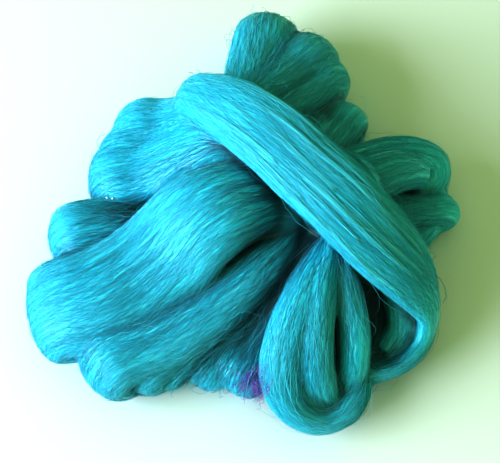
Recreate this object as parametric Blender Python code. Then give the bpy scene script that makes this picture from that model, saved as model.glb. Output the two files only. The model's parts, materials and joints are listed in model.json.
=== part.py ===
"""Wool roving: one length of combed wool top, gathered into a loose knot of loops on a table.

Metres, +Z up. The table is z = 0 and the origin is the middle of the footprint. The tables below
are in millimetres, in plan axes of their own; CENTRE moves them to the origin.
"""

import math

import bmesh
import bpy
from mathutils import Vector

MM = 0.001
CENTRE = (3.2, 9.0)  # middle of the footprint, in the tables' plan axes

SECTION_POINTS = 18  # points round a lock's section
BALL_SEGMENTS = 32  # meridians of a rounded mass
BALL_RINGS = 16  # rings of a rounded mass
TURN_STEPS = 6  # steps round a loop's fold
RUN_STEPS = 9  # steps along a loop's upper run
ROUTE_STEPS = 5  # steps between two rows of a route
LEAD = 0.35  # share of a loop's reach that steers its curve at each end
UNDER_SHARES = (0.2, 0.45, 0.7)  # places along the run beneath, back towards the root
UNDER_TAPER = 0.3  # how much narrower the run beneath ends than it starts
SETTLE = 1.0  # how far the lowest run is pressed into the table, then cut flat
VOXEL = 2.4  # grain of the fused skin
KEEP_FACES = 0.13  # share of the fused skin's faces that are kept

ROVING_COLOUR = (0.010, 0.45, 0.56, 1.0)
ROVING_ROUGHNESS = 0.9

# Locks that run out from the gathered middle, fold over and come back beneath. The root is where
# the lock leaves the middle, the fold is the axis of its turn, height is the top of the fold, and
# rise lifts the run above the straight way. Widths and depth are halves. Bow pushes the run aside.
LOOP_COLUMNS = (
    "name", "root_x", "root_y", "root_z", "fold_x", "fold_y", "height", "depth",
    "root_width", "fold_width", "rise", "bow",
)
LOOPS = (
    ("fan_upper", -20, 2, 30, -91, -32, 34, 8.5, 11, 12, 0, 4),
    ("fan_middle", 32, -6, 32, -60, -70, 38, 10.5, 9, 18, 17, 12),
    ("fan_lower", 33, -8, 34, -42, -73, 31, 9.0, 5, 11, 6, 8),
    ("left_upper", 2, 45, 53, -49, 53, 40, 11, 14, 18, 8, 0),
    ("left_middle", 3, 39, 52, -57, 39, 38, 11, 12, 17, 8, 0),
    ("left_lower", 4, 35, 52, -61, 28, 38, 11, 12, 19, 8, 0),
    ("low_left", -44, 4, 14, -82, -4, 34, 8.5, 11, 16, 12, 0),
    ("back_left", 3, 54, 46, 12, 100, 50, 12.0, 13, 17, 4, 0),
    ("back_middle", 4, 56, 46, 31, 88, 50, 12.0, 11, 15, 4, 0),
    ("back_right", 12, 48, 42, 39, 78, 45, 11.0, 9, 13, 4, 0),
    ("back_corner", 20, 42, 34, 42, 64, 34, 9.0, 8, 10, 2, 0),
    ("right_small", 38, 32, 30, 53, 58, 34, 9.0, 9, 12, 2, 0),
    ("right_corner", 76, 10, 18, 103, 12, 24, 6.5, 8, 8, 1, 0),
    ("front_low", 40, -12, 38, 0, -73, 26, 7.0, 6, 15, 4, 0),
    ("front_low_left", 36, -14, 22, -17, -71, 22, 7.0, 5, 13, 0, 2),
)

# Lengths that wander: a row for each place along the length. Widths and depths are halves, and
# roll turns the section about the way it runs, in degrees.
ROUTE_COLUMNS = ("x", "y", "z", "width", "depth", "roll")
ROUTES = {
    "strap": (
        (14, 36, 34, 12, 8, 0),
        (-8, 52, 34, 14, 8, 0),
        (-19, 58, 40, 13, 8, 0),
        (-25, 60, 50, 12, 8, 0),
        (-19, 54, 59, 13, 9, 0),
        (-8, 45, 66, 16, 9, 0),
        (4, 33, 73, 17, 9, -6),
        (19, 17, 78, 18, 9, -9),
        (33, 1, 79, 18, 9, -10),
        (45, -10, 77, 18, 9, -10),
        (57, -20, 70, 18, 9, -12),
        (70, -29, 58, 18, 8, -20),
        (83, -37, 44, 17, 7, -35),
        (91, -44, 28, 16, 7, -55),
        (89, -56, 17, 14, 7, -65),
        (80, -67, 13, 13, 6.5, -70),
        (67, -73, 12, 12, 6, -70),
        (52, -76, 11, 10, 7, -45),
    ),
    "fan_broad": (
        (27, 9, 34, 12, 11, 0),
        (14, 4, 47, 16, 12, 0),
        (2, -2, 57, 20, 12.5, 0),
        (-10, -8, 60, 23, 13, 0),
        (-22, -15, 55, 25, 13, 0),
        (-34, -23, 44, 26, 12.5, 0),
        (-50, -34, 36, 26, 12, 0),
        (-68, -43, 32, 26, 12, 0),
        (-86, -47, 28, 25, 11, 0),
        (-95, -49, 19, 24, 11, 0),
        (-85, -46, 10, 23, 11, 0),
        (-62, -38, 11, 20, 11.5, 0),
        (-40, -30, 11, 18, 11.5, 0),
    ),
    "under_strap": (
        (6, 36, 58, 12, 11, 0),
        (20, 22, 62, 12, 11, 0),
        (35, 7, 63, 12, 11, 0),
        (48, -4, 61, 12, 11, 0),
        (61, -15, 53, 12, 10, 0),
    ),
    "fan_rim": (
        (34, -6, 36, 5, 8, 0),
        (25, -16, 40, 5, 8, 0),
        (15, -27, 40, 6, 9, 0),
        (3, -39, 36, 7, 9, 0),
        (-7, -49, 33, 7, 9, 0),
        (-18, -60, 28, 8, 9, 0),
        (-28, -70, 21, 8, 8, 0),
        (-35, -76, 11, 8, 8, 0),
        (-30, -68, 8, 8, 8, 0),
    ),
    "shoulder": (
        (16, 24, 46, 12, 9, 0),
        (-8, 18, 46, 14, 10, 0),
        (-26, 8, 42, 14, 10, 0),
        (-42, -6, 34, 12, 10, 0),
        (-57, -19, 26, 10, 8, 0),
    ),
    "hollow_bed": (
        (60, -14, 24, 14, 10, 0),
        (68, -36, 15, 19, 10, 0),
        (66, -56, 11, 16, 10, 0),
        (56, -68, 9, 12, 9, 0),
    ),
    "right_outer": (
        (48, 24, 32, 10, 9, 0),
        (66, 33, 31, 10, 10, 0),
        (84, 38, 28, 10, 10, 0),
        (99, 38, 22, 9, 9, 0),
        (102, 31, 17, 9, 8, 0),
        (92, 24, 14, 10, 8, 0),
    ),
    "right_inner": (
        (50, 10, 38, 12, 10, 0),
        (66, 18, 40, 13, 10, 0),
        (80, 25, 36, 11, 10, 0),
        (92, 30, 24, 9, 8, 0),
    ),
    "right_low": (
        (84, 34, 16, 12, 9, 0),
        (95, 25, 14, 13, 9, 0),
        (94, 11, 10, 13, 9, 0),
        (84, -1, 8, 12, 9, 0),
        (68, -10, 8, 12, 9, 0),
    ),
    "hollow_side": (
        (68, -20, 50, 10, 9, 0),
        (79, -36, 34, 11, 9, 0),
        (82, -53, 20, 11, 9, 0),
        (74, -66, 13, 11, 8, 0),
    ),
    "front_left": (
        (50, -10, 42, 6, 8, 0),
        (42, -26, 50, 7, 8, 0),
        (31, -48, 49, 10, 10, 0),
        (22, -70, 41, 11, 11, 0),
        (21, -86, 29, 11, 11, 0),
        (28, -96, 20, 9, 10, 0),
        (40, -98.5, 15, 7, 9, 0),
        (51, -93, 15, 7, 9, 0),
        (55, -83, 15, 7, 9, 0),
        (55, -72, 14, 8, 9, 0),
    ),
    "front_middle": (
        (51, -10, 42, 6, 8, 0),
        (43, -27, 50, 6, 9, 0),
        (38, -46, 51, 8, 9, 0),
        (35, -64, 46, 9, 9, 0),
        (35, -77, 38, 9, 9, 0),
        (37, -86, 27, 9, 8, 0),
        (41, -89, 14, 8, 7, 0),
    ),
    "front_right": (
        (54, -10, 42, 6, 8, 0),
        (48, -27, 48, 6, 9, 0),
        (51, -46, 45, 7, 9, 0),
        (54, -62, 38, 8, 9, 0),
        (54, -75, 27, 8, 9, 0),
        (51, -82, 14, 8, 8, 0),
    ),
}

# The gathered middle, under the strap: rounded masses, by centre and half size.
MIDDLE_COLUMNS = ("x", "y", "z", "half_x", "half_y", "half_z")
MIDDLES = (
    (10, 16, 32, 44, 38, 34),
    (47, 7, 35, 26, 25, 34),
    (63, -14, 34, 22, 22, 29),
    (4, 40, 30, 30, 26, 34),
    (24, 46, 22, 30, 28, 22),
    (-28, -30, 20, 42, 34, 21),
    (30, -52, 16, 20, 26, 18),
    (20, 76, 23, 22, 24, 18),
    (-30, 36, 24, 26, 18, 18),
    (60, 12, 16, 20, 16, 15),
    (44, -66, 14, 16, 20, 17),
)


def empty_scene():
    for thing in list(bpy.data.objects):
        bpy.data.objects.remove(thing, do_unlink=True)


def blend(low, high, share):
    """Goes from low to high as share goes from 0 to 1, quickly at first."""
    return low + (high - low) * math.sin(share * math.pi / 2)


def loop_route(row):
    """Rows of a lock that goes out, folds over and comes back beneath."""
    size = dict(zip(LOOP_COLUMNS, row))
    root = Vector((size["root_x"], size["root_y"], size["root_z"]))
    plan = Vector((size["fold_x"] - root.x, size["fold_y"] - root.y, 0))
    reach = plan.length
    out = plan.normalized()
    side = Vector((-out.y, out.x, 0)) * size["bow"]
    up = Vector((0, 0, 1))
    radius = size["height"] / 2 - size["depth"]
    axis = Vector((size["fold_x"], size["fold_y"], size["height"] / 2))
    top = axis + up * radius
    lift = root + out * reach * LEAD + up * size["rise"] + side
    lead = top - out * reach * LEAD + side
    rows = []
    for step in range(RUN_STEPS):
        t = step / RUN_STEPS
        point = (
            root * (1 - t) ** 3 + lift * 3 * t * (1 - t) ** 2 + lead * 3 * t * t * (1 - t) + top * t**3
        )
        rows.append((*point, blend(size["root_width"], size["fold_width"], t), size["depth"], 0))
    for step in range(TURN_STEPS + 1):
        angle = math.pi * (0.5 - step / TURN_STEPS)
        point = axis + out * radius * math.cos(angle) + up * radius * math.sin(angle)
        rows.append((*point, size["fold_width"], size["depth"], 0))
    for share in UNDER_SHARES:
        point = axis - out * reach * share
        point.z = size["depth"] - SETTLE
        rows.append((*point, size["fold_width"] * (1 - UNDER_TAPER * share), size["depth"], 0))
    return rows


def between(before, start, end, after, t):
    """The place at t from start to end, on a smooth curve that passes through all four."""
    straight = 2 * start + (end - before) * t
    square = (2 * before - 5 * start + 4 * end - after) * t**2
    cube = (3 * start - before - 3 * end + after) * t**3
    return (straight + square + cube) / 2


def smooth_route(rows, steps):
    """Rows read from a smooth curve that passes through the given ones."""
    smooth = []
    last = len(rows) - 1
    for index in range(last):
        near = [rows[max(index - 1, 0)], rows[index], rows[index + 1], rows[min(index + 2, last)]]
        for step in range(steps):
            smooth.append(tuple(between(*column, step / steps) for column in zip(*near)))
    smooth.append(rows[last])
    return smooth


def section(width, depth):
    """Points round an ellipse of the given halves."""
    angles = [math.tau * index / SECTION_POINTS for index in range(SECTION_POINTS)]
    return [(width * math.cos(angle), depth * math.sin(angle)) for angle in angles]


def add_lock(mesh, rows):
    """Sweeps the section along the rows and closes both ends."""
    places = [Vector(row[:3]) for row in rows]
    rings = []
    across = None
    for index, row in enumerate(rows):
        ahead = places[min(index + 1, len(rows) - 1)] - places[max(index - 1, 0)]
        ahead.normalize()
        if across is None:
            across = Vector((0, 0, 1)).cross(ahead)
        across = (across - ahead * across.dot(ahead)).normalized()
        above = ahead.cross(across)
        roll = math.radians(row[5])
        wide = across * math.cos(roll) + above * math.sin(roll)
        thick = above * math.cos(roll) - across * math.sin(roll)
        rings.append(
            [mesh.verts.new((places[index] + wide * u + thick * v) * MM) for u, v in section(row[3], row[4])]
        )
    for near, far in zip(rings, rings[1:]):
        for index in range(SECTION_POINTS):
            follow = (index + 1) % SECTION_POINTS
            mesh.faces.new((near[index], near[follow], far[follow], far[index]))
    mesh.faces.new(list(reversed(rings[0])))
    mesh.faces.new(rings[-1])


def add_middle(mesh, row):
    made = bmesh.ops.create_uvsphere(mesh, u_segments=BALL_SEGMENTS, v_segments=BALL_RINGS, radius=MM)
    bmesh.ops.scale(mesh, vec=row[3:], verts=made["verts"])
    bmesh.ops.translate(mesh, vec=Vector(row[:3]) * MM, verts=made["verts"])


def roving_material():
    material = bpy.data.materials.new("combed_wool")
    material.use_nodes = True
    shader = material.node_tree.nodes["Principled BSDF"]
    shader.inputs["Base Color"].default_value = ROVING_COLOUR
    shader.inputs["Roughness"].default_value = ROVING_ROUGHNESS
    shader.inputs["Metallic"].default_value = 0.0
    return material


def table_cutter():
    """A block under the table top, which flattens what rests on it."""
    mesh = bmesh.new()
    bmesh.ops.create_cube(mesh, size=1.0)
    bmesh.ops.translate(mesh, vec=(0, 0, -0.5), verts=mesh.verts)
    data = bpy.data.meshes.new("table_cutter")
    mesh.to_mesh(data)
    mesh.free()
    cutter = bpy.data.objects.new("table_cutter", data)
    cutter.display_type = "WIRE"
    cutter.hide_render = True
    bpy.context.scene.collection.objects.link(cutter)
    return cutter


def wool_roving():
    mesh = bmesh.new()
    for row in LOOPS:
        add_lock(mesh, loop_route(row))
    for rows in ROUTES.values():
        add_lock(mesh, smooth_route(rows, ROUTE_STEPS))
    for row in MIDDLES:
        add_middle(mesh, row)
    bmesh.ops.translate(mesh, vec=(-CENTRE[0] * MM, -CENTRE[1] * MM, 0), verts=mesh.verts)
    bmesh.ops.recalc_face_normals(mesh, faces=mesh.faces)
    data = bpy.data.meshes.new("wool_roving")
    mesh.to_mesh(data)
    mesh.free()
    data.materials.append(roving_material())
    roving = bpy.data.objects.new("wool_roving", data)
    bpy.context.scene.collection.objects.link(roving)

    fuse = roving.modifiers.new("fuse", "REMESH")
    fuse.mode = "VOXEL"
    fuse.voxel_size = VOXEL * MM
    fuse.use_smooth_shade = True
    thin = roving.modifiers.new("thin", "DECIMATE")
    thin.ratio = KEEP_FACES
    rest = roving.modifiers.new("rest", "BOOLEAN")
    rest.operation = "DIFFERENCE"
    rest.object = table_cutter()
    rest.solver = "EXACT"
    return roving


empty_scene()
wool_roving()
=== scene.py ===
# %% [markdown]
# # Wool roving
# Roving, or combed top, is wool that has been combed until its long fibres all lie one way. It is
# dyed but not spun, so nothing holds it together but the fibres' own grip. Here one length of it is
# gathered in the middle and lies in loose loops on a table, with one flat strap across the top.
# Three things make it look like wool: one fused skin with partings pressed into it, many thousands
# of single fibres combed over that skin, and shade painted into its folds and hollows. Sizes are in
# millimetres until a mesh is made.

import json
import math

import bmesh
import bpy
import numpy as np
from mathutils import Matrix, Vector
from mathutils.bvhtree import BVHTree
from mathutils.kdtree import KDTree

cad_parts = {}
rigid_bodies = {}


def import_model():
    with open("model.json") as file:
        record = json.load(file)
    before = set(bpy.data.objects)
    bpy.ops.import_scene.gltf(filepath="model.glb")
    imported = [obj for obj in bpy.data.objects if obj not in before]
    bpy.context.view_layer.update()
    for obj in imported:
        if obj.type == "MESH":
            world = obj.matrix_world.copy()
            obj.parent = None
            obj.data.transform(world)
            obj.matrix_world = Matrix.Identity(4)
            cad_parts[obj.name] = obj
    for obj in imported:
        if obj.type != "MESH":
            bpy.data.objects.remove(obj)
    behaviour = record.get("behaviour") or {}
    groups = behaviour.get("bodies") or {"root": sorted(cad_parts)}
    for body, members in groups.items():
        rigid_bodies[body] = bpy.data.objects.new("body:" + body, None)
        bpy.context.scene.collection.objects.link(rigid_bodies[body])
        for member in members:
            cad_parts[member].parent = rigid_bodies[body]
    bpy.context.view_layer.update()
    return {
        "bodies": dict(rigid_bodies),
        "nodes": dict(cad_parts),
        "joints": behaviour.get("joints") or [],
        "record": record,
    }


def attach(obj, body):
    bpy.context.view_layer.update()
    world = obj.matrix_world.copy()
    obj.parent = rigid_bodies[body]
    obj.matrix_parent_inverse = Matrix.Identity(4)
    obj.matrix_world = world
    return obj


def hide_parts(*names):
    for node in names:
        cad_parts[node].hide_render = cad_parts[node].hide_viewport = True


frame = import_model()
MM = 0.001
WOOL_NODE = "wool_roving"

# %% [markdown]
# ## How the lengths lie
# A loop is a lock that runs out from the gathered middle, folds over and comes back beneath, so a
# row gives its root, the axis of its fold and its thickness. A length that wanders needs a row for
# each place it passes. The tables are the ones that the solid was made from. Their plan axes have
# an origin of their own, so CENTRE is taken off later.

# %% Table of loops
CENTRE = (3.2, 9.0)  # where the part's origin is in the tables' axes, mm
LOOP_COLUMNS = (
    "name", "root_x", "root_y", "root_z", "fold_x", "fold_y", "height", "depth",
    "root_width", "fold_width", "rise", "bow",
)
LOOPS = (
    ("fan_upper", -20, 2, 30, -91, -32, 34, 8.5, 11, 12, 0, 4),
    ("fan_middle", 32, -6, 32, -60, -70, 38, 10.5, 9, 18, 17, 12),
    ("fan_lower", 33, -8, 34, -42, -73, 31, 9.0, 5, 11, 6, 8),
    ("left_upper", 2, 45, 53, -49, 53, 40, 11, 14, 18, 8, 0),
    ("left_middle", 3, 39, 52, -57, 39, 38, 11, 12, 17, 8, 0),
    ("left_lower", 4, 35, 52, -61, 28, 38, 11, 12, 19, 8, 0),
    ("low_left", -44, 4, 14, -82, -4, 34, 8.5, 11, 16, 12, 0),
    ("back_left", 3, 54, 46, 12, 100, 50, 12.0, 13, 17, 4, 0),
    ("back_middle", 4, 56, 46, 31, 88, 50, 12.0, 11, 15, 4, 0),
    ("back_right", 12, 48, 42, 39, 78, 45, 11.0, 9, 13, 4, 0),
    ("back_corner", 20, 42, 34, 42, 64, 34, 9.0, 8, 10, 2, 0),
    ("right_small", 38, 32, 30, 53, 58, 34, 9.0, 9, 12, 2, 0),
    ("right_corner", 76, 10, 18, 103, 12, 24, 6.5, 8, 8, 1, 0),
    ("front_low", 40, -12, 38, 0, -73, 26, 7.0, 6, 15, 4, 0),
    ("front_low_left", 36, -14, 22, -17, -71, 22, 7.0, 5, 13, 0, 2),
)
print(len(LOOPS), "loops")

# %% Table of wandering lengths
ROUTE_COLUMNS = ("x", "y", "z", "width", "depth", "roll")
ROUTES = {
    "strap": (
        (14, 36, 34, 12, 8, 0),
        (-8, 52, 34, 14, 8, 0),
        (-19, 58, 40, 13, 8, 0),
        (-25, 60, 50, 12, 8, 0),
        (-19, 54, 59, 13, 9, 0),
        (-8, 45, 66, 16, 9, 0),
        (4, 33, 73, 17, 9, -6),
        (19, 17, 78, 18, 9, -9),
        (33, 1, 79, 18, 9, -10),
        (45, -10, 77, 18, 9, -10),
        (57, -20, 70, 18, 9, -12),
        (70, -29, 58, 18, 8, -20),
        (83, -37, 44, 17, 7, -35),
        (91, -44, 28, 16, 7, -55),
        (89, -56, 17, 14, 7, -65),
        (80, -67, 13, 13, 6.5, -70),
        (67, -73, 12, 12, 6, -70),
        (52, -76, 11, 10, 7, -45),
    ),
    "fan_broad": (
        (27, 9, 34, 12, 11, 0),
        (14, 4, 47, 16, 12, 0),
        (2, -2, 57, 20, 12.5, 0),
        (-10, -8, 60, 23, 13, 0),
        (-22, -15, 55, 25, 13, 0),
        (-34, -23, 44, 26, 12.5, 0),
        (-50, -34, 36, 26, 12, 0),
        (-68, -43, 32, 26, 12, 0),
        (-86, -47, 28, 25, 11, 0),
        (-95, -49, 19, 24, 11, 0),
        (-85, -46, 10, 23, 11, 0),
        (-62, -38, 11, 20, 11.5, 0),
        (-40, -30, 11, 18, 11.5, 0),
    ),
    "under_strap": (
        (6, 36, 58, 12, 11, 0),
        (20, 22, 62, 12, 11, 0),
        (35, 7, 63, 12, 11, 0),
        (48, -4, 61, 12, 11, 0),
        (61, -15, 53, 12, 10, 0),
    ),
    "fan_rim": (
        (34, -6, 36, 5, 8, 0),
        (25, -16, 40, 5, 8, 0),
        (15, -27, 40, 6, 9, 0),
        (3, -39, 36, 7, 9, 0),
        (-7, -49, 33, 7, 9, 0),
        (-18, -60, 28, 8, 9, 0),
        (-28, -70, 21, 8, 8, 0),
        (-35, -76, 11, 8, 8, 0),
        (-30, -68, 8, 8, 8, 0),
    ),
    "shoulder": (
        (16, 24, 46, 12, 9, 0),
        (-8, 18, 46, 14, 10, 0),
        (-26, 8, 42, 14, 10, 0),
        (-42, -6, 34, 12, 10, 0),
        (-57, -19, 26, 10, 8, 0),
    ),
    "hollow_bed": (
        (60, -14, 24, 14, 10, 0),
        (68, -36, 15, 19, 10, 0),
        (66, -56, 11, 16, 10, 0),
        (56, -68, 9, 12, 9, 0),
    ),
    "right_outer": (
        (48, 24, 32, 10, 9, 0),
        (66, 33, 31, 10, 10, 0),
        (84, 38, 28, 10, 10, 0),
        (99, 38, 22, 9, 9, 0),
        (102, 31, 17, 9, 8, 0),
        (92, 24, 14, 10, 8, 0),
    ),
    "right_inner": (
        (50, 10, 38, 12, 10, 0),
        (66, 18, 40, 13, 10, 0),
        (80, 25, 36, 11, 10, 0),
        (92, 30, 24, 9, 8, 0),
    ),
    "right_low": (
        (84, 34, 16, 12, 9, 0),
        (95, 25, 14, 13, 9, 0),
        (94, 11, 10, 13, 9, 0),
        (84, -1, 8, 12, 9, 0),
        (68, -10, 8, 12, 9, 0),
    ),
    "hollow_side": (
        (68, -20, 50, 10, 9, 0),
        (79, -36, 34, 11, 9, 0),
        (82, -53, 20, 11, 9, 0),
        (74, -66, 13, 11, 8, 0),
    ),
    "front_left": (
        (50, -10, 42, 6, 8, 0),
        (42, -26, 50, 7, 8, 0),
        (31, -48, 49, 10, 10, 0),
        (22, -70, 41, 11, 11, 0),
        (21, -86, 29, 11, 11, 0),
        (28, -96, 20, 9, 10, 0),
        (40, -98.5, 15, 7, 9, 0),
        (51, -93, 15, 7, 9, 0),
        (55, -83, 15, 7, 9, 0),
        (55, -72, 14, 8, 9, 0),
    ),
    "front_middle": (
        (51, -10, 42, 6, 8, 0),
        (43, -27, 50, 6, 9, 0),
        (38, -46, 51, 8, 9, 0),
        (35, -64, 46, 9, 9, 0),
        (35, -77, 38, 9, 9, 0),
        (37, -86, 27, 9, 8, 0),
        (41, -89, 14, 8, 7, 0),
    ),
    "front_right": (
        (54, -10, 42, 6, 8, 0),
        (48, -27, 48, 6, 9, 0),
        (51, -46, 45, 7, 9, 0),
        (54, -62, 38, 8, 9, 0),
        (54, -75, 27, 8, 9, 0),
        (51, -82, 14, 8, 8, 0),
    ),
}
print(len(ROUTES), "wandering lengths")

# %% [markdown]
# ## From a row to a route
# A loop's upper run is one Bezier curve, which leaves the root and reaches the top of the fold
# level. The fold is half a turn, and the run beneath rests on the table. A wandering length is read
# from a smooth curve through its rows. Either way the result is a list of places with a width, a
# depth and a roll, so that the steps after this one need not know which kind it was.

# %% The route of a loop
TURN_STEPS = 6  # round the fold
RUN_STEPS = 9  # along the upper run
LEAD = 0.35  # how far the curve's handles reach, as a share of the loop's length
UNDER_SHARES = (0.2, 0.45, 0.7)  # places on the run beneath, as shares of the way back
UNDER_TAPER = 0.3
SETTLE = 1.0  # how far the run beneath sinks before the table stops it, mm
UP = Vector((0, 0, 1))


def blend(low, high, share):
    """Goes from low to high as share goes from 0 to 1, quickly at first."""
    return low + (high - low) * math.sin(share * math.pi / 2)


def loop_route(row):
    """Rows of a lock that goes out, folds over and comes back beneath."""
    size = dict(zip(LOOP_COLUMNS, row))
    root = Vector((size["root_x"], size["root_y"], size["root_z"]))
    plan = Vector((size["fold_x"] - root.x, size["fold_y"] - root.y, 0))
    reach = plan.length
    out = plan.normalized()
    side = Vector((-out.y, out.x, 0)) * size["bow"]
    radius = size["height"] / 2 - size["depth"]
    axis = Vector((size["fold_x"], size["fold_y"], size["height"] / 2))
    top = axis + UP * radius
    lift = root + out * reach * LEAD + UP * size["rise"] + side
    lead = top - out * reach * LEAD + side
    rows = []
    for step in range(RUN_STEPS):
        t = step / RUN_STEPS
        near = root * (1 - t) ** 3 + lift * 3 * t * (1 - t) ** 2
        point = near + lead * 3 * t * t * (1 - t) + top * t**3
        rows.append((*point, blend(size["root_width"], size["fold_width"], t), size["depth"], 0))
    for step in range(TURN_STEPS + 1):
        angle = math.pi * (0.5 - step / TURN_STEPS)
        point = axis + out * radius * math.cos(angle) + UP * radius * math.sin(angle)
        rows.append((*point, size["fold_width"], size["depth"], 0))
    for share in UNDER_SHARES:
        point = axis - out * reach * share
        point.z = size["depth"] - SETTLE
        rows.append((*point, size["fold_width"] * (1 - UNDER_TAPER * share), size["depth"], 0))
    return rows


print("rows to a loop:", len(loop_route(LOOPS[0])))


# %% A smooth curve through rows
def between(before, start, end, after, t):
    """The place at t from start to end, on a smooth curve that passes through all four."""
    straight = 2 * start + (end - before) * t
    square = (2 * before - 5 * start + 4 * end - after) * t**2
    cube = (3 * start - before - 3 * end + after) * t**3
    return (straight + square + cube) / 2


def smooth_route(rows, steps):
    """Rows read from a smooth curve that passes through the given ones."""
    smooth = []
    last = len(rows) - 1
    for index in range(last):
        near = [rows[max(index - 1, 0)], rows[index], rows[index + 1], rows[min(index + 2, last)]]
        for step in range(steps):
            smooth.append(tuple(between(*column, step / steps) for column in zip(*near)))
    smooth.append(rows[last])
    return smooth


print("halfway from 0 to 1 on a straight run:", between(-1, 0, 1, 2, 0.5))

# %% All the routes
LOOP_FINENESS = 2  # steps from one row to the next
ROUTE_FINENESS = 4
routes = {row[0]: smooth_route(loop_route(row), LOOP_FINENESS) for row in LOOPS}
routes.update({name: smooth_route(rows, ROUTE_FINENESS) for name, rows in ROUTES.items()})
print("places along the routes:", sum(len(rows) for rows in routes.values()))

# %% [markdown]
# ## A frame at every place
# A section swept along a route needs two directions at every place, across and above. Taking them
# afresh from the world's up would make the section flip where a loop turns over, so each frame is
# carried on from the one before and only straightened against the new direction.


# %% Stations
def stations_of(rows):
    """A matrix for every row, which puts a unit circle on the lock as its section there."""
    places = [Vector(row[:3]) - Vector((*CENTRE, 0)) for row in rows]
    across = None
    stations = []
    for index, row in enumerate(rows):
        size = dict(zip(ROUTE_COLUMNS, row))
        ahead = places[min(index + 1, len(rows) - 1)] - places[max(index - 1, 0)]
        ahead.normalize()
        if across is None:
            across = UP.cross(ahead)
        across = (across - ahead * across.dot(ahead)).normalized()
        above = ahead.cross(across)
        roll = math.radians(size["roll"])
        wide = (across * math.cos(roll) + above * math.sin(roll)) * size["width"]
        thick = (above * math.cos(roll) - across * math.sin(roll)) * size["depth"]
        station = Matrix((wide, thick, ahead)).transposed().to_4x4()
        station.translation = places[index]
        stations.append(station)
    return stations


stations = {name: stations_of(rows) for name, rows in routes.items()}
print("stations of the strap:", len(stations["strap"]))

# %% [markdown]
# ## One skin for all the locks
# Where locks lie against each other their fibres cling, so wool has soft valleys and no hard seams.
# That is had by sweeping every lock as a plain closed form, joining them all with a few rounded
# masses for the gathered middle, and remeshing the lot as one skin, which is then smoothed. To
# sweep a lock, one circle of points is extruded again and again, and each new ring is moved to its
# station.

# %% Plain locks
AROUND = 28  # points round a section


def sweep_lock(placed):
    """One lock as a closed form."""
    mesh = bmesh.new()
    ring = bmesh.ops.create_circle(mesh, segments=AROUND, radius=1.0)["verts"]
    edges = list({edge for vert in ring for edge in vert.link_edges})
    bmesh.ops.contextual_create(mesh, geom=edges)
    bmesh.ops.transform(mesh, matrix=placed[0], verts=ring)
    for before, after in zip(placed, placed[1:]):
        made = bmesh.ops.extrude_edge_only(mesh, edges=edges)["geom"]
        ring = [item for item in made if isinstance(item, bmesh.types.BMVert)]
        edges = [item for item in made if isinstance(item, bmesh.types.BMEdge)]
        bmesh.ops.transform(mesh, matrix=after @ before.inverted(), verts=ring)
    bmesh.ops.contextual_create(mesh, geom=edges)
    data = bpy.data.meshes.new("lock")
    mesh.to_mesh(data)
    mesh.free()
    return data


plain = bmesh.new()
for placed in stations.values():
    lock = sweep_lock(placed)
    plain.from_mesh(lock)
    bpy.data.meshes.remove(lock)
print("plain locks:", len(plain.faces), "faces")

# %% Masses for the gathered middle
MIDDLE_COLUMNS = ("x", "y", "z", "half_x", "half_y", "half_z")
MIDDLES = (
    (10, 16, 32, 44, 38, 34),
    (47, 7, 35, 26, 25, 34),
    (63, -14, 34, 22, 22, 29),
    (4, 40, 30, 30, 26, 34),
    (24, 46, 22, 30, 28, 22),
    (-28, -30, 20, 42, 34, 21),
    (30, -52, 16, 20, 26, 18),
    (20, 76, 23, 22, 24, 18),
    (-30, 36, 24, 26, 18, 18),
    (60, 12, 16, 20, 16, 15),
    (44, -66, 14, 16, 20, 17),
)


def add_mass(mesh, row):
    size = dict(zip(MIDDLE_COLUMNS, row))
    made = bmesh.ops.create_uvsphere(mesh, u_segments=32, v_segments=16, radius=1.0)["verts"]
    bmesh.ops.scale(mesh, vec=(size["half_x"], size["half_y"], size["half_z"]), verts=made)
    place = Vector((size["x"], size["y"], size["z"])) - Vector((*CENTRE, 0))
    bmesh.ops.translate(mesh, vec=place, verts=made)


for row in MIDDLES:
    add_mass(plain, row)
bmesh.ops.recalc_face_normals(plain, faces=plain.faces)
print("with the masses:", len(plain.faces), "faces")

# %% One skin
SKIN_VOXEL = 1.35  # mm
SMOOTH_TURNS = 7
TABLE_GAP = 0.15  # how far the wool stays above z = 0, mm


def linked(name, mesh):
    """An object of this bmesh, in the scene."""
    data = bpy.data.meshes.new(name)
    mesh.to_mesh(data)
    mesh.free()
    made = bpy.data.objects.new(name, data)
    bpy.context.scene.collection.objects.link(made)
    return made


rough = linked("rough", plain)
rough.modifiers.new("fuse", "REMESH").mode = "VOXEL"
rough.modifiers["fuse"].voxel_size = SKIN_VOXEL
soften = rough.modifiers.new("soften", "SMOOTH")
soften.iterations = SMOOTH_TURNS
fused = bmesh.new()
fused.from_object(rough, bpy.context.evaluated_depsgraph_get())
bpy.data.objects.remove(rough)
for vert in fused.verts:
    vert.co.z = max(vert.co.z, TABLE_GAP)
fused.normal_update()
print("fused skin:", len(fused.faces), "faces")

# %% [markdown]
# ## Which way the wool lies
# Every point of the skin takes its direction from the nearest lock, and the directions are then
# averaged with their neighbours', so that where two locks meet the lay turns from one to the other.
# A lay has no front or back, so what is averaged isn't the direction but its product with itself,
# which is the same for both.

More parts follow.
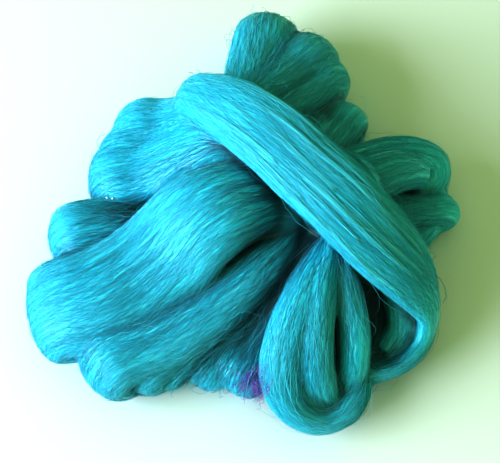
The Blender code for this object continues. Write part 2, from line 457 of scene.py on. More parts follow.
# %% The lay on the skin
LOOK_ANGLES = 24  # places round a section that the skin may look to
LAY_TURNS = 6
TINY = 1e-9  # keeps a length of nought from being divided by
frames = np.array([station for placed in stations.values() for station in placed])
lock_of_frame = np.repeat(range(len(stations)), [len(placed) for placed in stations.values()])
frame_runs = []
for placed in stations.values():
    places = np.array([station.translation for station in placed])
    steps = np.linalg.norm(np.diff(places, axis=0), axis=1)
    frame_runs.extend(np.r_[0, np.cumsum(steps)])
frame_runs = np.array(frame_runs)
angles = math.tau * np.arange(LOOK_ANGLES) / LOOK_ANGLES
circle = np.array([np.cos(angles), np.sin(angles), 0 * angles, 0 * angles + 1])
spots = (frames @ circle)[:, :3].transpose(0, 2, 1)
lines = [np.gradient(spots[lock_of_frame == number], axis=0) for number in range(len(stations))]
lines = np.concatenate(lines)
lines /= np.linalg.norm(lines, axis=-1, keepdims=True) + TINY
tree = KDTree(spots.shape[0] * LOOK_ANGLES)
for index, spot in enumerate(spots.reshape(-1, 3)):
    tree.insert(spot, index)
tree.balance()
nearest = np.array([tree.find(vert.co)[1] for vert in fused.verts])
frame_of = nearest // LOOK_ANGLES
lock_of = lock_of_frame[frame_of]
ways = lines.reshape(-1, 3)[nearest]
edges = np.array([[vert.index for vert in edge.verts] for edge in fused.edges])


def averaged(values, turns):
    """Values at the points of the skin, averaged with their neighbours' this many times."""
    ends = np.r_[edges[:, 0], edges[:, 1]]
    others = np.r_[edges[:, 1], edges[:, 0]]
    count = np.bincount(ends, minlength=len(values))[:, None]
    for _ in range(turns):
        summed = [np.bincount(ends, column[others], minlength=len(values)) for column in values.T]
        values = (values + np.stack(summed, 1)) / (1 + count)
    return values


products = (ways[:, :, None] * ways[:, None, :]).reshape(-1, 9)
ways = np.linalg.eigh(averaged(products, LAY_TURNS).reshape(-1, 3, 3))[1][:, :, 2]
normals = np.array([vert.normal for vert in fused.verts])
ways -= normals * (ways * normals).sum(1, keepdims=True)
ways /= np.linalg.norm(ways, axis=1, keepdims=True) + TINY
print("lay found at", len(ways), "points")

# %% [markdown]
# ## Places on a lock
# Anything that runs along the wool is easiest drawn in two lengths: how far round the lock a point
# is, and how far along it. The nearest station gives both. A line that stays at one angle of the
# section follows the fibres, also where they draw together, so the length round the lock is read
# from its mean section.

# %% Round and along
ARC_STEPS = 96


def arc_table(number):
    """Angles of a lock's section, and the length round its mean section up to each, mm."""
    scales = np.linalg.norm(frames[lock_of_frame == number, :3, :2], axis=1).mean(axis=0)
    turns = np.linspace(-math.pi, math.pi, ARC_STEPS + 1)
    mids = (turns[1:] + turns[:-1]) / 2
    steps = np.hypot(scales[0] * np.sin(mids), scales[1] * np.cos(mids)) * math.tau / ARC_STEPS
    return turns, np.r_[0, np.cumsum(steps)]


arcs = [arc_table(number) for number in range(len(stations))]
around = np.array([arc[-1] for _, arc in arcs])
unframes = np.linalg.inv(frames)


def on_lock(places, frame):
    """Lengths round and along the lock of this frame, for these places, mm."""
    local = np.einsum("nij,nj->ni", unframes[frame], np.c_[places, np.ones(len(places))])
    angle = np.arctan2(local[:, 1], local[:, 0])
    rounds = np.zeros(len(places))
    for number, (turns, arc) in enumerate(arcs):
        mine = lock_of_frame[frame] == number
        rounds[mine] = np.interp(angle[mine], turns, arc)
    return np.stack([rounds, frame_runs[frame] + local[:, 2]], axis=1)


skin_places = np.array([vert.co for vert in fused.verts])
laid = on_lock(skin_places, frame_of)
print("mean girth of a lock:", round(float(around.mean()), 1), "mm")

# %% [markdown]
# ## Partings
# Combed wool isn't smooth across: it parts into strands, with narrow valleys between them that
# open, run along the lock for a while and close again. Each parting here is a groove with a place
# round the lock, a width, a depth and the stretch it runs for, and it drifts a little on its way.

# %% One lock's partings
PARTING_SPACING = 9.0  # of a lock's girth to each parting, mm
PARTING_WIDTHS = (1.2, 3.4)  # mm
PARTING_LENGTHS = (20.0, 70.0)  # half of the stretch, mm
PARTING_DRIFT = 2.0  # mm
PARTING_WAVE = 1.7  # of the drift, in radians for each half of the stretch
PARTING_DEPTHS = {"strap": 2.2, "fan": 1.1, "left": 0.3, "back": 0.6, "right": 0.6, "front": 0.7}
SMOOTHER_LOCKS = {"fan_broad": 0.5, "shoulder": 0.3, "front_left": 0.5, "low_left": 0.3}
OTHER_DEPTH = 0.8
PARTING_SEED = 1000
names = list(stations)


def parting_depth(name):
    """The deepest that this lock's partings go, mm."""
    return SMOOTHER_LOCKS.get(name) or PARTING_DEPTHS.get(name.split("_")[0], OTHER_DEPTH)


def partings(number, rounds, runs):
    """How deep the grooves of this lock are at these places on it, mm."""
    draw = np.random.default_rng(PARTING_SEED + number)
    girth = around[number]
    last = frame_runs[lock_of_frame == number].max()
    depth = np.zeros(len(rounds))
    for _ in range(round(girth / PARTING_SPACING)):
        middle, half = draw.uniform(0, last), draw.uniform(*PARTING_LENGTHS)
        place, width = draw.uniform(0, girth), draw.uniform(*PARTING_WIDTHS)
        along = (runs - middle) / half
        drift = PARTING_DRIFT * np.sin(along * PARTING_WAVE + draw.uniform(0, math.tau))
        off = (rounds - place - drift + girth / 2) % girth - girth / 2
        groove = np.exp(-((off / width) ** 2)) * np.clip(1 - along**2, 0, 1)
        depth = np.maximum(depth, groove * draw.uniform(0.2, 1.0) ** 2)
    return depth * parting_depth(names[number])


print("partings round the strap:", round(around[names.index("strap")] / PARTING_SPACING))

# %% Partings pressed into the skin
heights = np.zeros((len(ways), 1))
for number in range(len(names)):
    mine = lock_of == number
    heights[mine, 0] = -partings(number, *laid[mine].T)
heights = averaged(heights, 1)
for vert, rise in zip(fused.verts, heights[:, 0]):
    vert.co += vert.normal * rise
    vert.co.z = max(vert.co.z, TABLE_GAP)
fused.normal_update()
skin_tree = BVHTree.FromBMesh(fused)
pressed = np.array([vert.co for vert in fused.verts])
outward = np.array([vert.normal for vert in fused.verts])
print("deepest parting:", round(-float(heights.min()), 2), "mm")

# %% [markdown]
# ## Painted shade in folds and hollows
# Wool drinks the light that falls into a fold, far more than a hard surface does, because each
# fibre there lies in the shade of its neighbours. That shade is painted into the colour: the dye is
# painted darker where the skin is sunk or hemmed in. A fold is found by how far the skin lies below
# its own average, and a hollow by how many of a few looks round, spread evenly, are blocked by more
# wool.

# %% How far the skin is sunk
FOLD_TURNS = 80  # how widely the skin is averaged to see where it is sunk
FOLD_DEPTH = 2.6  # where the painted shade of a fold is at its full share, mm
FOLD_SHARE = 0.7
LIGHTEST = -0.4  # on a ridge, where the wool stands out, the fibres are painted lighter
sunk = ((averaged(pressed, FOLD_TURNS) - pressed) * outward).sum(1)
# Painted shade from folds: the deeper the skin is sunk, the darker it is painted.
in_folds = np.clip(FOLD_SHARE * sunk / FOLD_DEPTH, LIGHTEST, 1.0)
print("deepest fold:", round(float(sunk.max()), 1), "mm")

# %% How hemmed in the skin is
HOLLOW_EVERY = 5  # one point of the skin in so many looks round
HOLLOW_RAYS = 28
HOLLOW_REACH = 45.0  # how far a look goes, mm
HOLLOW_START = 0.5  # how far off the skin it starts, mm
HOLLOW_GRAZE = 0.1  # looks that lie flatter than this on the skin aren't taken
HOLLOW_TURNS = 14
HOLLOW_FROM = 0.34  # the share of looks that are blocked where the painted shade begins
HOLLOW_SPAN = 0.55
GOLDEN_TURN = math.pi * (1 + 5**0.5)
ray = np.arange(HOLLOW_RAYS) + 0.5
tilt, turn = np.arccos(1 - 2 * ray / HOLLOW_RAYS), ray * GOLDEN_TURN
rays = np.stack([np.cos(turn) * np.sin(tilt), np.sin(turn) * np.sin(tilt), np.cos(tilt)], 1)
blocked = np.zeros((len(pressed), 2))
for number in range(0, len(pressed), HOLLOW_EVERY):
    place = Vector(pressed[number] + outward[number] * HOLLOW_START)
    looks = rays[rays @ outward[number] > HOLLOW_GRAZE]
    found = [skin_tree.ray_cast(place, Vector(look), HOLLOW_REACH)[0] for look in looks]
    blocked[number] = sum(hit is not None for hit in found) / len(looks), 1
blocked = averaged(blocked, HOLLOW_TURNS)
hollow = blocked[:, 0] / np.maximum(blocked[:, 1], 1e-6)
# How much darker each point is painted, as shade, from its fold and its hollow.
painted_shade_amount = in_folds + np.clip((hollow - HOLLOW_FROM) / HOLLOW_SPAN, 0.0, 1.0)
painted_shade_amount = np.clip(painted_shade_amount, LIGHTEST, 1.0)
print("skin in folds and hollows:", round(100 * float((painted_shade_amount > 0.5).mean()), 1), "%")

# %% [markdown]
# ## The skin as a piece
# The skin becomes an object that carries two things for its material: the painted shade of each
# point, as an attribute, and a map in real millimetres, round the lock and along it. A face takes
# the whole of its map from one lock, the one of its first corner, so the pattern is never torn
# inside a face.

# %% Facts of each face
fused.faces.ensure_lookup_table()
corner_of = np.array([face.verts[0].index for face in fused.faces])
way_of_face = [Vector(way) for way in ways[corner_of]]
middles = np.array([face.calc_center_median() for face in fused.faces])
areas = np.array([face.calc_area() for face in fused.faces])
facing = [face.normal.copy() for face in fused.faces]
print("area of the skin:", round(float(areas.sum()) / 100), "square cm")

# %% The skin as an object
bmesh.ops.scale(fused, vec=(MM,) * 3, verts=fused.verts)
body = linked("packed_wool", fused)
body.data.shade_smooth()
corners = np.zeros(len(body.data.loops), int)
body.data.loops.foreach_get("vertex_index", corners)
starts = np.zeros(len(body.data.polygons), int)
body.data.polygons.foreach_get("loop_start", starts)
leader = np.repeat(corners[starts], np.diff(np.r_[starts, len(corners)]))
across_along = laid[corners]
other = lock_of[corners] != lock_of[leader]
across_along[other] = on_lock(skin_places[corners[other]], frame_of[leader[other]])
girths = around[lock_of[leader]]
off = across_along[:, 0] - laid[leader, 0]
across_along[:, 0] -= np.round(off / girths) * girths
# The painted shade goes to the material as an attribute.
sunken = body.data.attributes.new("painted_shade_amount", "FLOAT", "POINT")
sunken.data.foreach_set("value", painted_shade_amount.astype(np.float32))
body.data.uv_layers.new(name="lay").data.foreach_set("uv", across_along.ravel())
print("skin:", len(starts), "faces, with a map of", int(laid[:, 1].max()), "mm along")

# %% [markdown]
# ## Single fibres
# What the eye reads as wool is single fibres: they catch the light along the lock, cross each other
# at small angles and leave a soft edge. Each one here is a closed needle with three sides. It
# starts anywhere on the skin, takes a few strides the way the wool lies there, and is set back on
# the skin after each, so that it follows folds and creases by itself. Operators would take minutes
# for so many, so the needles' meshes are filled from arrays.

# %% Combing
STRIDE = 6.5  # mm
STRIDES = 6
REACH = 8.0  # how far the skin may be from the end of a stride, mm


def comb(face, start, stride, lifts, turns):
    """The points of one fibre, from this place on a face on, with a lift and a turn at each."""
    normal = facing[face]
    place = start
    way = way_of_face[face]
    points = []
    for lift, turn in zip(lifts, turns):
        points.append(place + normal * lift)
        side = normal.cross(way)
        ahead = (way + side * turn).normalized()
        place, normal, face, _ = skin_tree.find_nearest(place + ahead * stride, REACH)
        follow = way_of_face[face]
        way = follow if follow.dot(way) > 0 else -follow
    return points


level = [0.0] * (STRIDES + 1)
trial = comb(0, Vector(middles[0]), STRIDE, level, level)
print("a fibre of", len(trial), "points reaches", round((trial[-1] - trial[0]).length, 1), "mm")

# %% Needles
FIBRE_SIDES = 3
ASKEW = (0.31, 0.57, 0.76)  # a way that hardly any fibre takes, to set its sections out from
TINT_STEP = 0.96  # of the fibre's map goes to its tint, and
TINT_BAND = 0.03  # this much to the way round it


def needles(points, radius, tint):
    """Arrays of vertices, faces and map places for closed needles through these points."""
    count, places = points.shape[:2]
    ahead = np.gradient(points, axis=1)
    ahead /= np.linalg.norm(ahead, axis=-1, keepdims=True) + TINY
    first = np.cross(ahead, ASKEW)
    first /= np.linalg.norm(first, axis=-1, keepdims=True) + TINY
    second = np.cross(ahead, first)
    first, second = first[:, 1:-1, None], second[:, 1:-1, None]
    turn = (math.tau * np.arange(FIBRE_SIDES) / FIBRE_SIDES)[:, None]
    rings = first * np.cos(turn) + second * np.sin(turn)
    rings = points[:, 1:-1, None] + rings * radius[:, None, None, None]
    each = FIBRE_SIDES * (places - 2) + 2
    verts = np.concatenate([points[:, :1], rings.reshape(count, -1, 3), points[:, -1:]], axis=1)
    tri, quad = [], []
    last = 1 + (places - 3) * FIBRE_SIDES
    for side in range(FIBRE_SIDES):
        after = (side + 1) % FIBRE_SIDES
        tri.append((0, 1 + after, 1 + side))
        tri.append((last + side, last + after, each - 1))
        for near in range(1, last, FIBRE_SIDES):
            far = near + FIBRE_SIDES
            quad.append((near + side, near + after, far + after, far + side))
    base = (np.arange(count) * each)[:, None, None]
    tris = (np.array(tri)[None] + base).reshape(-1, 3)
    quads = (np.array(quad)[None] + base).reshape(-1, 4)
    along = np.r_[0, np.repeat(np.linspace(0, 1, places)[1:-1], FIBRE_SIDES), 1]
    width = np.r_[0.5, np.tile(np.arange(FIBRE_SIDES) / FIBRE_SIDES, places - 2), 0.5]
    column = tint[:, None] * TINT_STEP + width[None] * TINT_BAND
    spots = np.stack(np.broadcast_arrays(column, along[None]), -1)
    return verts.reshape(-1, 3), tris, quads, spots.reshape(-1, 2)


# %% A piece of fibres
def fibre_piece(name, points, radius, tint):
    """One object of needles, with the map that its material reads, given under two names."""
    verts, tris, quads, spots = needles(points, radius, tint)
    verts[:, 2] = np.maximum(verts[:, 2], TABLE_GAP)
    corners = np.r_[tris.ravel(), quads.ravel()]
    totals = np.r_[np.full(len(tris), 3), np.full(len(quads), 4)]
    data = bpy.data.meshes.new(name)
    data.vertices.add(len(verts))
    data.vertices.foreach_set("co", (verts * MM).astype(np.float32).ravel())
    data.loops.add(len(corners))
    data.loops.foreach_set("vertex_index", corners.astype(np.int32))
    data.polygons.add(len(totals))
    data.polygons.foreach_set("loop_start", np.r_[0, np.cumsum(totals)[:-1]].astype(np.int32))
    for map_name in ("fibre", "OFBake"):
        layer = data.uv_layers.new(name=map_name)
        layer.uv.foreach_set("vector", spots[corners].astype(np.float32).ravel())
    data.update(calc_edges=True)
    data.shade_smooth()
    piece = bpy.data.objects.new(name, data)
    bpy.context.scene.collection.objects.link(piece)
    print(name, len(tris) + 2 * len(quads), "triangles")
    return piece


# %% Where fibres start
DOWNWARD = -0.4  # faces that look further down than this,
UNDERSIDE = 8.0  # and are lower than this in mm, lie out of sight on the table
face_down = np.array([normal.z for normal in facing]) < DOWNWARD
chances = areas * ~(face_down & (middles[:, 2] < UNDERSIDE))
chances /= chances.sum()
print("faces that may start a fibre:", int((chances > 0).sum()))

# %% Combed fibres
FIBRES_IN_PIECE = 5600
FIBRE_PIECES = 4
FIBRE_RADIUS = 0.06  # drawn coarser than the real 0.01 mm, so that it shows, mm
FIBRE_RADII = (0.7, 1.25)  # times that
FIBRE_LIFT = 0.25  # how high a fibre stands off the skin on average, mm
LEAST_LIFT = 0.1  # added to that, mm
FIBRE_WANDER = 0.14  # how far a whole fibre turns off the lay, radians
FIBRE_CURL = 0.12  # how far one stride does
TINTS = (0.6, 0.1)  # mean and spread of the shade, from deep at 0 to pale at 1
PAINTED_FOLD_SHADE = 0.4  # how much darker a fibre is painted in a fold, and paler on a ridge, as shade


def combed(faces, seed):
    """Points of fibres that start on these faces of the skin."""
    draw = np.random.default_rng(seed)
    count = len(faces)
    starts = middles[faces] + draw.normal(0, 0.5, (count, 3))
    strides = STRIDE * draw.uniform(0.6, 1.1, count)
    arch = np.sin(math.pi * np.linspace(0, 1, STRIDES + 1)) ** 0.5
    lifts = (draw.exponential(FIBRE_LIFT, count) + LEAST_LIFT)[:, None] * arch
    turns = draw.normal(0, FIBRE_WANDER, count)[:, None]
    turns = turns + draw.normal(0, FIBRE_CURL, (count, STRIDES + 1))
    places = [Vector(start) for start in starts]
    rows = zip(faces.tolist(), places, strides.tolist(), lifts.tolist(), turns.tolist())
    return np.array([comb(*row) for row in rows])


fibres = []
for number in range(FIBRE_PIECES):
    draw = np.random.default_rng(100 + number)
    faces = draw.choice(len(areas), FIBRES_IN_PIECE, p=chances)
    points = combed(faces, number + 1)
    radii = FIBRE_RADIUS * draw.uniform(*FIBRE_RADII, FIBRES_IN_PIECE)
    # Fibres are painted darker in folds and paler on ridges, as shade and light fall there.
    tints = draw.normal(*TINTS, FIBRES_IN_PIECE) - PAINTED_FOLD_SHADE * painted_shade_amount[corner_of[faces]]
    fibres.append(fibre_piece(f"fibres_{number + 1}", points, radii, np.clip(tints, 0, 1)))

# %% [markdown]
# ## Hairs that stand away
# Handling pulls single fibres loose. They curl, because nothing holds them straight any more, and
# they gather where the top was rubbed: over the middle of the fan, along the edges and in the
# hollows. They are combed as the others are, with short strides, more lift and a turn that changes.
# What changes is averaged over a few strides, because a hair bends but has no corners.

# %% Where the wool was rubbed
# x, y and z of the middle, how far the hairs spread, how many they are and how high they stand,
# all in mm but their number
RUBBED = (
    (-8, -62, 30, 13, 170, 2.2),
    (4, -45, 25, 11, 90, 2.0),
    (-21, -73, 22, 12, 90, 2.0),
    (-44, -1, 30, 7, 50, 1.6),
    (8, 90, 36, 12, 70, 1.6),
    (26, 84, 34, 12, 60, 1.6),
    (37, 48, 38, 5, 30, 2.6),
    (58, 41, 30, 10, 60, 2.4),
    (77, -12, 36, 10, 90, 2.4),
    (84, -32, 26, 9, 40, 1.2),
    (94, -58, 20, 8, 20, 1.2),
    (52, -62, 14, 12, 90, 2.0),
    (46, -47, 30, 8, 50, 2.0),
    (26, -71, 24, 12, 60, 1.6),
)
print("hairs where the wool was rubbed:", sum(row[4] for row in RUBBED))

# %% The course of a loose hair
HAIR_STRIDE = 2.4  # mm
HAIR_STRIDES = 11
HAIR_CURL = 0.35
HAIR_SWEEP = 0.6  # share of the curl that a hair keeps all along
BEND_WINDOW = 5  # strides that a change is averaged over
MEAN_WINDOW = np.full(BEND_WINDOW, 1 / BEND_WINDOW)
CURL_WINDOW = 2 * MEAN_WINDOW  # because averaging weakens the curl


def loose(seed, rise, starts):
    """Points of loose hairs from places on the skin nearest to these starts."""
    draw = np.random.default_rng(seed)
    arch = np.sin(math.pi * np.linspace(0.08, 1, HAIR_STRIDES + 1)) ** 0.7
    rows = []
    for start in starts:
        place, _, face, _ = skin_tree.find_nearest(Vector(start))
        rises = draw.uniform(0.5, 1.5, HAIR_STRIDES + BEND_WINDOW)
        rises = np.convolve(rises, MEAN_WINDOW, "valid")
        lifts = draw.exponential(rise) * arch * rises + LEAST_LIFT
        bends = draw.normal(0, HAIR_CURL, HAIR_STRIDES + BEND_WINDOW)
        bends = np.convolve(bends, CURL_WINDOW, "valid")
        turns = HAIR_SWEEP * draw.normal(0, HAIR_CURL) + bends
        stride = HAIR_STRIDE * draw.uniform(0.6, 1.2)
        rows.append(comb(face, place, stride, lifts.tolist(), turns.tolist()))
    return rows


print("a loose hair is up to", round(HAIR_STRIDE * 1.2 * HAIR_STRIDES, 1), "mm long")

# %% Loose hairs
HAIR_RADIUS = 0.07  # mm
OTHER_HAIRS = 420  # all over the skin
OTHER_RISE = 1.2  # mm
draw = np.random.default_rng(40)
hairs = []
for number, (x, y, z, spread, count, rise) in enumerate(RUBBED):
    starts = draw.normal((x, y, z), spread, (count, 3))
    hairs += loose(50 + number, rise, starts)
faces = draw.choice(len(areas), OTHER_HAIRS, p=chances)
hairs += loose(80, OTHER_RISE, middles[faces])
hairs = np.array(hairs)
tints = np.clip(draw.normal(0.6, 0.15, len(hairs)), 0, 1)
radii = HAIR_RADIUS * draw.uniform(0.8, 1.3, len(hairs))
fibres.append(fibre_piece("loose_hairs", hairs, radii, tints))

# %% [markdown]
# ## Strands that part from the strap
# Where the strap bends down on the right its fibres split into strands that ride over the rest.
# They are painted paler than the other fibres, as a highlight where they catch the light. A strand
# is a bundle of fibres that start close together and keep the same way, so each bundle is combed
# from one place with very little turn.

# %% Strands on the strap
STRANDS = 26
FIBRES_IN_STRAND = 16
STRAND_STRIDE = 5.0  # mm
STRAND_STRIDES = 11
STRAND_PART = (0.42, 0.74)  # the stretch of the strap where they start
STRAND_SPREAD = 0.45  # how far apart its fibres start, mm
STRAND_HEIGHTS = (0.5, 1.3)  # mm
STRAND_BEND = 0.03  # radians at each stride
FIBRE_BEND = 0.02
draw = np.random.default_rng(90)
strap_places = spots[lock_of_frame == names.index("strap")]
points = []
for _ in range(STRANDS):
    station = int(len(strap_places) * draw.uniform(*STRAND_PART))
    ring = strap_places[station]
    upper = np.argsort(ring[:, 2])[-LOOK_ANGLES // 2:]
    middle = ring[draw.choice(upper)]
    bend, high = draw.normal(0, STRAND_BEND), draw.uniform(*STRAND_HEIGHTS)
    for _ in range(FIBRES_IN_STRAND):
        start = Vector(middle + draw.normal(0, STRAND_SPREAD, 3))
        place, _, face, _ = skin_tree.find_nearest(start)
        arch = np.sin(math.pi * np.linspace(0, 1, STRAND_STRIDES + 1)) ** 0.5
        lifts = LEAST_LIFT + arch * high * draw.uniform(0.5, 1.1)
        stray = draw.normal(0, FIBRE_BEND)
        turns = bend + stray + draw.normal(0, FIBRE_BEND, STRAND_STRIDES + 1)
        stride = STRAND_STRIDE * draw.uniform(0.7, 1.1)
        points.append(comb(face, place, stride, lifts.tolist(), turns.tolist()))
points = np.array(points)
# Painted highlight: the strands are given paler tints than the other fibres.
tints = np.clip(draw.normal(0.85, 0.1, len(points)), 0, 1)
radii = FIBRE_RADIUS * draw.uniform(1.0, 1.5, len(points))
fibres.append(fibre_piece("strap_strands", points, radii, tints))

# %% [markdown]
# ## A tuft of another colour
# A little purple wool is caught at the front edge. Its hairs are crimped: they wind in small curls
# out over the table. Each is a spiral that is drawn out from the edge. The tuft and the flecks
# after it are placed as someone looking down at the wool sees them, where a slanting line to a
# point of the table first meets the wool.

# %% Places seen from the front
ELEVATION = math.radians(65)  # how steeply the camera looks down
DOWN = Vector((0, math.cos(ELEVATION), -math.sin(ELEVATION)))
SIGHT = 150.0  # how far back the line starts, mm


def seen(x, y):
    """Place and normal where the line to this point of the table first meets the wool."""
    place, normal, _, _ = skin_tree.ray_cast(Vector((x, y, 0)) - DOWN * SIGHT, DOWN)
    return (place, normal) if place else (Vector((x, y, 1)), UP)


print("height of the wool over the middle:", round(seen(0, 0)[0].z, 1), "mm")

# %% Crimped tuft
TUFT_FROM = (3.6, -80.0)  # on the table, under the tuft, mm
TUFT_SPREAD = (3.6, 4.0)  # mm
TUFT_REACH = 8.0  # mm
TUFT_WAY = (-0.3, -0.8, -0.2)  # out over the table, to the front
TUFT_STRAY = (0.5, 0.4, 0.3)
TUFT_HAIRS = 150
TUFT_POINTS = 22
CURLS = (1.2, 3.0)  # turns of each spiral
CURL_RADII = (0.5, 1.5)  # mm
one_each = (TUFT_HAIRS, 1)
draw = np.random.default_rng(60)
roots = [seen(*draw.normal(TUFT_FROM, TUFT_SPREAD)) for _ in range(TUFT_HAIRS)]
begin = np.array([place for place, _ in roots])
lean = np.array([normal for _, normal in roots])
way = draw.normal(TUFT_WAY, TUFT_STRAY, (TUFT_HAIRS, 3)) + lean * 0.5
way /= np.linalg.norm(way, axis=1, keepdims=True)
side = np.cross(way, UP)
side /= np.linalg.norm(side, axis=1, keepdims=True)
rise = np.cross(side, way)
run = np.linspace(0, 1, TUFT_POINTS)
turn = draw.uniform(0, math.tau, one_each) + math.tau * draw.uniform(*CURLS, one_each) * run
curl = draw.uniform(*CURL_RADII, one_each) * np.sqrt(run)
reach = TUFT_REACH * draw.uniform(0.3, 1.1, one_each) * run
points = begin[:, None] + way[:, None] * reach[..., None] + lean[:, None] * (0.3 + curl[..., None])
winding = side[:, None] * (curl * np.cos(turn))[..., None]
winding = winding + rise[:, None] * (curl * np.sin(turn))[..., None]
points += winding
radii = HAIR_RADIUS * draw.uniform(0.7, 1.2, TUFT_HAIRS)
tuft = fibre_piece("purple_tuft", points, radii, draw.uniform(0, 1, TUFT_HAIRS))

# %% [markdown]
# ## Two flecks
# Two specks of undyed wool sit in the gap between the upper and the lower loops on the left. A
# speck is a tiny ball of fibre, so each one is an icosphere that is pushed out of round.

# %% Flecks
FLECKS = (((-71.5, 17.3), 0.7), ((-68.6, 17.0), 0.6))  # point of the table and radius, mm
FLECK_RISE = 0.6  # of its radius, how far its middle stands off the wool
FLECK_LUMPS = 0.3
specks = bmesh.new()
for spot, radius in FLECKS:
    place, normal = seen(*spot)
    spot = Matrix.Translation(place + normal * radius * FLECK_RISE)
    made = bmesh.ops.create_icosphere(specks, subdivisions=2, radius=radius, matrix=spot)
    for vert in made["verts"]:
        vert.co += (vert.co - spot.translation) * draw.uniform(-FLECK_LUMPS, FLECK_LUMPS)
bmesh.ops.scale(specks, vec=(MM,) * 3, verts=specks.verts)
flecks = linked("undyed_flecks", specks)
flecks.data.shade_smooth()
print("flecks:", len(flecks.data.polygons), "faces")

# %% [markdown]
# ## Dyed combed wool
# Merino top takes dye deeply, so the colour is strong. Each fibre takes it a little differently, so
# the colour varies from one to the next. A fibre is smooth and round, and gives back a thin bright
# line where it faces the light, which makes the lit side of a lock paler than its dye. The rest of
# the shine is a sheen, a soft light along the edges of every lock.


# %% Shader helpers
def linear(hex_colour):
    """An sRGB hex value as the linear colour that a shader takes."""
    parts = [int(hex_colour[index:index + 2], 16) / 255 for index in (1, 3, 5)]
    parts = [c / 12.92 if c <= 0.04045 else ((c + 0.055) / 1.055) ** 2.4 for c in parts]
    return (*parts, 1.0)


def add(tree, kind, settings=None, links=None):
    """One node, with its settings and with links given as input: output."""
    node = tree.nodes.new(kind)
    for key, value in (settings or {}).items():
        if isinstance(key, int) or key in node.inputs:
            node.inputs[key].default_value = value
        else:
            setattr(node, key, value)
    for key, output in (links or {}).items():
        tree.links.new(output, node.inputs[key])
    return node


def new_material(name):
    """A material of this name, and its node tree."""
    material = bpy.data.materials.new(name)
    material.use_nodes = True
    return material, material.node_tree


def set_ramp(ramp, stops):
    """Gives a colour ramp these (place, hex colour) stops."""
    elements = ramp.color_ramp.elements
    while len(elements) < len(stops):
        elements.new(0.5)
    for element, (place, colour) in zip(elements, stops):
        element.position = place
        element.color = linear(colour)


print("half of sRGB white is", round(linear("#808080")[0], 2), "of its light")

# %% Dyes and shine
PAINTED_SHADE = "#024C52"  # painted shade, deep in a fold; also the darkest stop of the fibres
DEEP = "#0690AA"
MID = "#12BCD2"
PALE = "#6CE6F2"  # a fibre that took less dye; the strap's strands are painted towards it as a highlight
VIOLET, PURPLE, PINK = "#5560C0", "#8C5CC4", "#CC86D4"
WOOL_ROUGHNESS = 0.5  # the scales on a fibre blur what it gives back
WOOL_SPECULAR = 0.7  # over the usual 0.5, because some of each round fibre always faces the light
WOOL_SHEEN = 0.25
SHEEN_ROUGHNESS = 0.4
SHEEN_TINT = "#F2FDFF"


def wool_shader(tree, colour):
    """What all wool has in common: the finish, over a colour of its own."""
    shader = tree.nodes["Principled BSDF"]
    shader.inputs["Roughness"].default_value = WOOL_ROUGHNESS
    shader.inputs["Specular IOR Level"].default_value = WOOL_SPECULAR
    shader.inputs["Sheen Weight"].default_value = WOOL_SHEEN
    shader.inputs["Sheen Roughness"].default_value = SHEEN_ROUGHNESS
    shader.inputs["Sheen Tint"].default_value = linear(SHEEN_TINT)
    tree.links.new(colour, shader.inputs["Base Color"])
    return shader


print("the middle of the dye in linear light:", [round(part, 2) for part in linear(MID)[:3]])

# %% Single merino fibres
# Combed and dyed merino: fibres of slightly different shades side by side give the eye its strands.
FIBRE_STOPS = (0.1, 0.4, 0.6, 0.9)


def fibre_wool(name, shades):
    """Single dyed fibres: each keeps one shade from end to end."""
    material, tree = new_material(name)
    where = add(tree, "ShaderNodeUVMap", {"uv_map": "fibre"})
    split = add(tree, "ShaderNodeSeparateXYZ", links={"Vector": where.outputs["UV"]})
    shade = add(tree, "ShaderNodeValToRGB", links={"Fac": split.outputs["X"]})
    set_ramp(shade, tuple(zip(FIBRE_STOPS, shades)))
    wool_shader(tree, shade.outputs["Color"])
    return material


# The ramp's darkest stop is the painted shade that fibres in folds are given.
single_wool = fibre_wool("dyed_merino_fibre", (PAINTED_SHADE, DEEP, MID, PALE))
for piece in fibres:
    piece.data.materials.append(single_wool)
tuft.data.materials.append(fibre_wool("purple_merino_fibre", (VIOLET, PURPLE, PURPLE, PINK)))
print("pieces of dyed fibres:", len(fibres))

# %% Streaks along the wool
STRAND_WIDTH = 2.2  # what some thousands of fibres that cling together make, mm
STRAND_LENGTH = 70.0
STREAK_WIDTH = 0.35  # a fibre's own 0.02 mm is too fine to show, so it is drawn this coarse, mm
STREAK_LENGTH = 4.0


def streaks(tree, width, length, detail):
    """Noise drawn out along the wool, with streaks of this width and length in mm."""
    where = add(tree, "ShaderNodeUVMap", {"uv_map": "lay"})
    scale = {"Scale": (1 / width, 1 / length, 1)}
    drawn = add(tree, "ShaderNodeMapping", scale, {"Vector": where.outputs["UV"]})
    look = {"Scale": 1.0, "Detail": detail, "Distortion": 0.4}
    noise = add(tree, "ShaderNodeTexNoise", look, {"Vector": drawn.outputs["Vector"]})
    return noise.outputs["Fac"]


print("streaks to a strand:", round(STRAND_WIDTH / STREAK_WIDTH))

# %% Packed merino
# The mass of fibres under the single ones. Streaks that follow the lay, in colour and in relief,
# tell the eye that it is made of fibres all the way in, and shade is painted darker into its folds
# and hollows.
STREAK_SHADES = ((0.34, DEEP), (0.5, MID), (0.68, PALE))
STRAND_RELIEF = {"Strength": 0.3, "Distance": 0.5 * MM}
STREAK_RELIEF = {"Strength": 0.6, "Distance": 0.25 * MM}
HALF = {"operation": "MULTIPLY", 1: 0.5}
HALF_AND_ADD = {"operation": "MULTIPLY_ADD", 1: 0.5}


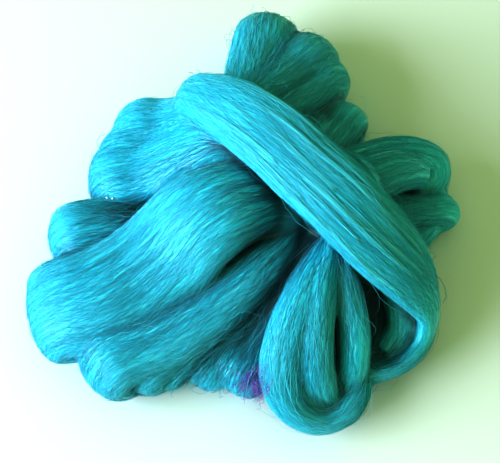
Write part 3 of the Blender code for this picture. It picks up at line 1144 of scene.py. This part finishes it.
def packed_wool():
    """The body under the fibres, with its streaks, relief and the shade painted into its folds."""
    material, tree = new_material("packed_merino")
    strand = streaks(tree, STRAND_WIDTH, STRAND_LENGTH, 2.0)
    streak = streaks(tree, STREAK_WIDTH, STREAK_LENGTH, 3.0)
    half = add(tree, "ShaderNodeMath", HALF, {0: strand})
    mixed = add(tree, "ShaderNodeMath", HALF_AND_ADD, {0: streak, 2: half.outputs["Value"]})
    shade = add(tree, "ShaderNodeValToRGB", links={"Fac": mixed.outputs["Value"]})
    set_ramp(shade, STREAK_SHADES)
    soft = add(tree, "ShaderNodeBump", STRAND_RELIEF, {"Height": strand})
    both = {"Height": streak, "Normal": soft.outputs["Normal"]}
    fine = add(tree, "ShaderNodeBump", STREAK_RELIEF, both)
    # Painted shade: the dye is mixed towards the painted shade colour where the skin is sunk or
    # hemmed in.
    sunk = add(tree, "ShaderNodeAttribute", {"attribute_name": "painted_shade_amount"})
    darker = add(
        tree,
        "ShaderNodeMix",
        {"data_type": "RGBA", "blend_type": "MIX", 7: linear(PAINTED_SHADE)},
        {0: sunk.outputs["Fac"], 6: shade.outputs["Color"]},
    )
    shader = wool_shader(tree, darker.outputs[2])
    tree.links.new(fine.outputs["Normal"], shader.inputs["Normal"])
    return material


body.data.materials.append(packed_wool())
print("nodes of the packed wool:", len(body.data.materials[0].node_tree.nodes))

# %% Undyed merino
# Off-white and a little warm. Small lumps of shade make a speck look like fluff and not a bead.
FLUFF = 0.4  # mm
UNDYED_SHADES = ((0.35, "#D9DCCB"), (0.65, "#F7F6EE"))
undyed, undyed_tree = new_material("undyed_merino_fleck")
lumps = add(undyed_tree, "ShaderNodeTexNoise", {"Scale": 1 / (FLUFF * MM), "Detail": 2.0})
undyed_shade = add(undyed_tree, "ShaderNodeValToRGB", links={"Fac": lumps.outputs["Fac"]})
set_ramp(undyed_shade, UNDYED_SHADES)
wool_shader(undyed_tree, undyed_shade.outputs["Color"])
flecks.data.materials.append(undyed)
print("nodes of the undyed wool:", len(undyed_tree.nodes))

# %% Tie every piece to the part
for piece in [body, *fibres, tuft, flecks]:
    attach(piece, "root")
    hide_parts(WOOL_NODE)

# %% [markdown]
# ## Table, light and camera
# The roving lies on a plain pale table under one large soft light, a window low on the left. The
# rest of the room gives a yellow-green light from all sides, which colours the shadows. The view is
# shown with strong contrast: a gamma under 1 deepens the shadows while the lit table stays almost
# white.

# %% Table
TABLE_SIZE = 4.0  # m
TABLE_PAINT = "#DCE1DD"
table = bmesh.new()
bmesh.ops.create_grid(table, x_segments=1, y_segments=1, size=TABLE_SIZE / 2)
table_top = linked("table_top", table)
# Matte painted board: with hardly any gloss, it shows nothing but the light and the wool's shadow.
table_paint, table_tree = new_material("matte_white_board")
table_shader = table_tree.nodes["Principled BSDF"]
table_shader.inputs["Base Color"].default_value = linear(TABLE_PAINT)
table_shader.inputs["Roughness"].default_value = 0.9
table_shader.inputs["Specular IOR Level"].default_value = 0.1
table_top.data.materials.append(table_paint)
print("table:", TABLE_SIZE, "m square")

# %% Light
KEY_FROM = Vector((-1.71, -0.61, 0.80))  # m
KEY_SIZE = 1.5  # m
KEY_POWER = 114.0  # W
KEY_COLOUR = (0.71, 0.75, 0.95)
ROOM_COLOUR = (0.61, 0.78, 0.39)
ROOM_STRENGTH = 1.0
CONTRAST_GAMMA = 0.64

key = bpy.data.lights.new("window", "AREA")
key.shape = "SQUARE"
key.size = KEY_SIZE
key.energy = KEY_POWER
key.color = KEY_COLOUR
key_light = bpy.data.objects.new("window", key)
key_light.location = KEY_FROM
key_light.rotation_euler = KEY_FROM.to_track_quat("Z", "Y").to_euler()
bpy.context.scene.collection.objects.link(key_light)
room = bpy.data.worlds.new("room")
room.use_nodes = True
room.node_tree.nodes["Background"].inputs["Color"].default_value = (*ROOM_COLOUR, 1.0)
room.node_tree.nodes["Background"].inputs["Strength"].default_value = ROOM_STRENGTH
bpy.context.scene.world = room
bpy.context.scene.view_settings.view_transform = "Standard"
bpy.context.scene.view_settings.gamma = CONTRAST_GAMMA
print("the window is", round(KEY_FROM.length, 2), "m away")

# %% Camera
AIM = Vector((1.3, -17.9, 35.0)) * MM
DISTANCE = 600 * MM
LENS = 86.4  # mm, on a sensor 36 mm wide
camera = bpy.data.objects.new("camera", bpy.data.cameras.new("camera"))
camera.data.lens = LENS
camera.data.sensor_width = 36
back = Vector((0, -math.cos(ELEVATION), math.sin(ELEVATION)))
camera.location = AIM + back * DISTANCE
camera.rotation_euler = back.to_track_quat("Z", "Y").to_euler()
bpy.context.scene.collection.objects.link(camera)
bpy.context.scene.camera = camera
print("the camera looks down at", round(math.degrees(ELEVATION)), "degrees")
